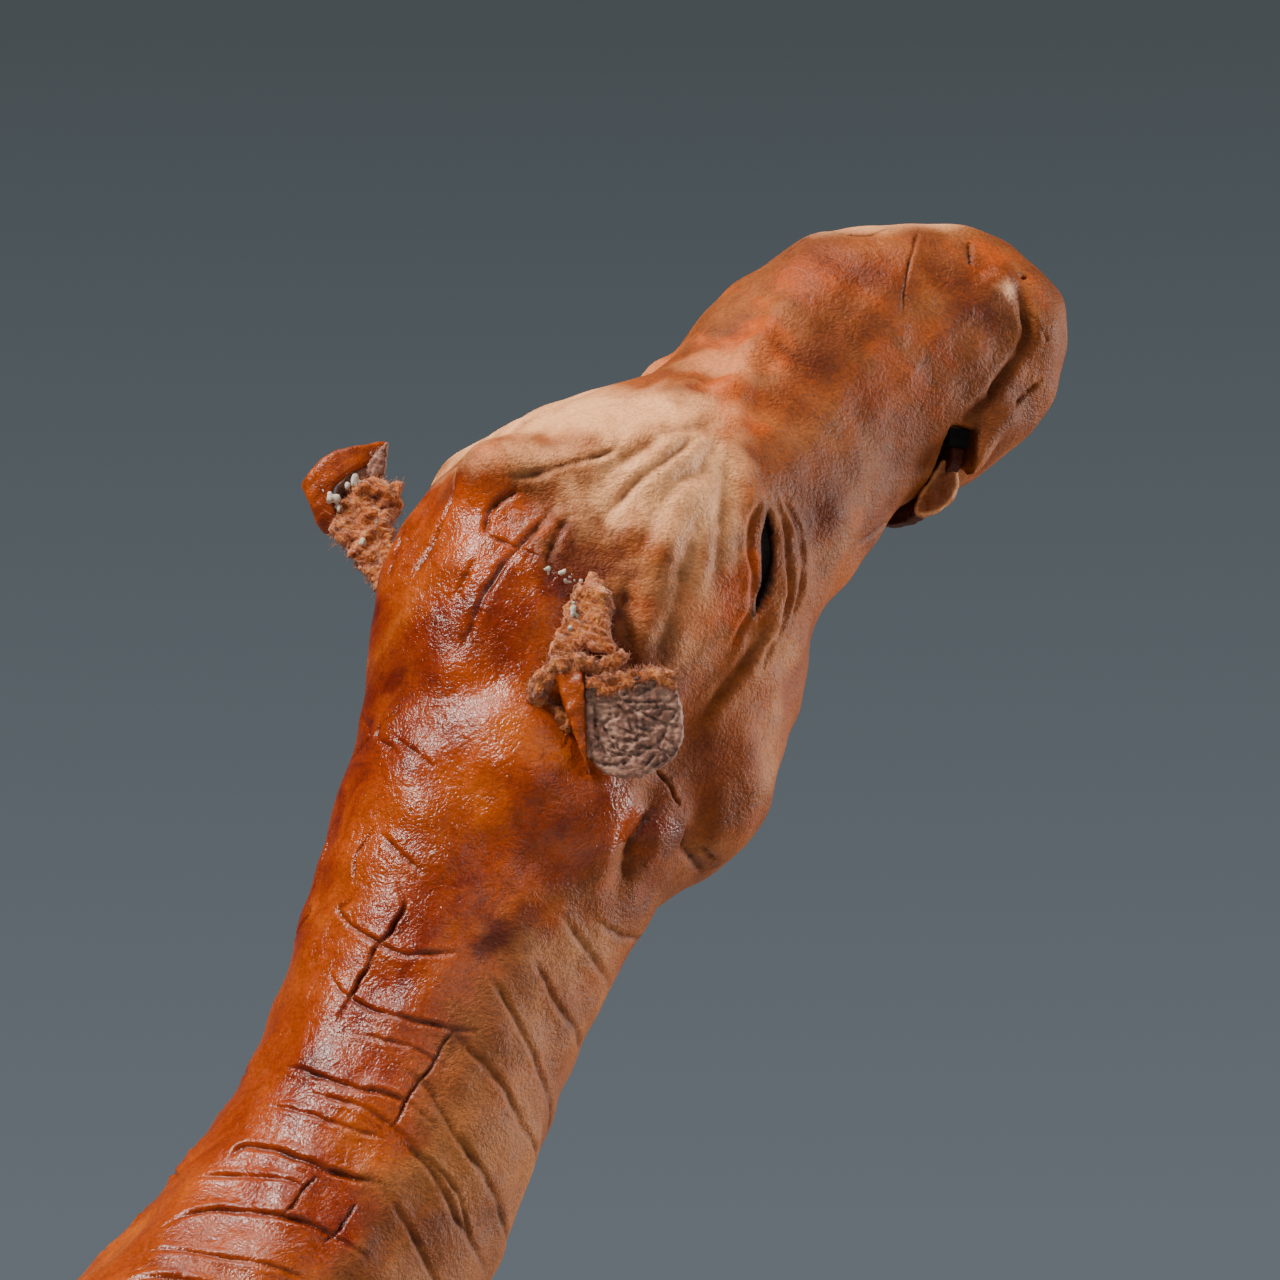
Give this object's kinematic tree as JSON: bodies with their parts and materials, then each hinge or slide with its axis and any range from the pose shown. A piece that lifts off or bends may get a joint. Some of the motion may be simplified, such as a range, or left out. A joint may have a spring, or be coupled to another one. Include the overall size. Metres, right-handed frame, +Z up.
{
  "type": "carved giraffe statue",
  "caption": "Standing giraffe statue: carved wooden core pieces on dowels, covered in wet-moulded leather, with leather ears and dark hooves.",
  "frame": {"origin": "on the floor, under the middle of the statue's bounding box", "axes": "+X where the giraffe faces, +Y its left, +Z up"},
  "size_m": [0.5662, 0.12, 0.9007],
  "materials": {
    "hide": "vegetable-tanned hide, wet moulded, burnished glossy orange-brown along the back and crown, matte brown below, with fine grain wrinkles",
    "ear_hide": "thick hide: dark creased grain face, fuzzy orange-tan flesh side and cut edges",
    "carved_wood": "bare carved softwood",
    "dowel_wood": "turned hardwood dowel",
    "hoof": "dark stained carved wood, satin",
    "eye": "black stained insert",
    "lining": "black dyed leather",
    "lip": "pinkish brown leather with a pale rim",
    "wire": "soft steel wire",
    "hair": "dark brown hair fibre"
  },
  "bodies": {
    "root": {"head_core": "carved_wood", "neck_core": "carved_wood", "torso_core": "carved_wood", "head_dowel": "dowel_wood", "neck_dowel": "dowel_wood", "leg_dowels": "dowel_wood", "head_skin": "hide", "neck_skin": "hide", "torso_skin": "hide", "tail_skin": "hide", "tail_wire": "wire", "tail_tuft": "hair", "eye_left": "eye", "eye_right": "eye", "mouth_lining": "lining", "lip_flap": "lip", "ear_left": "ear_hide", "ear_right": "ear_hide", "front_left_leg_core": "carved_wood", "front_left_leg_skin": "hide", "front_left_hoof": "hoof", "front_right_leg_core": "carved_wood", "front_right_leg_skin": "hide", "front_right_hoof": "hoof", "hind_left_leg_core": "carved_wood", "hind_left_leg_skin": "hide", "hind_left_hoof": "hoof", "hind_right_leg_core": "carved_wood", "hind_right_leg_skin": "hide", "hind_right_hoof": "hoof"}
  },
  "joints": []
}
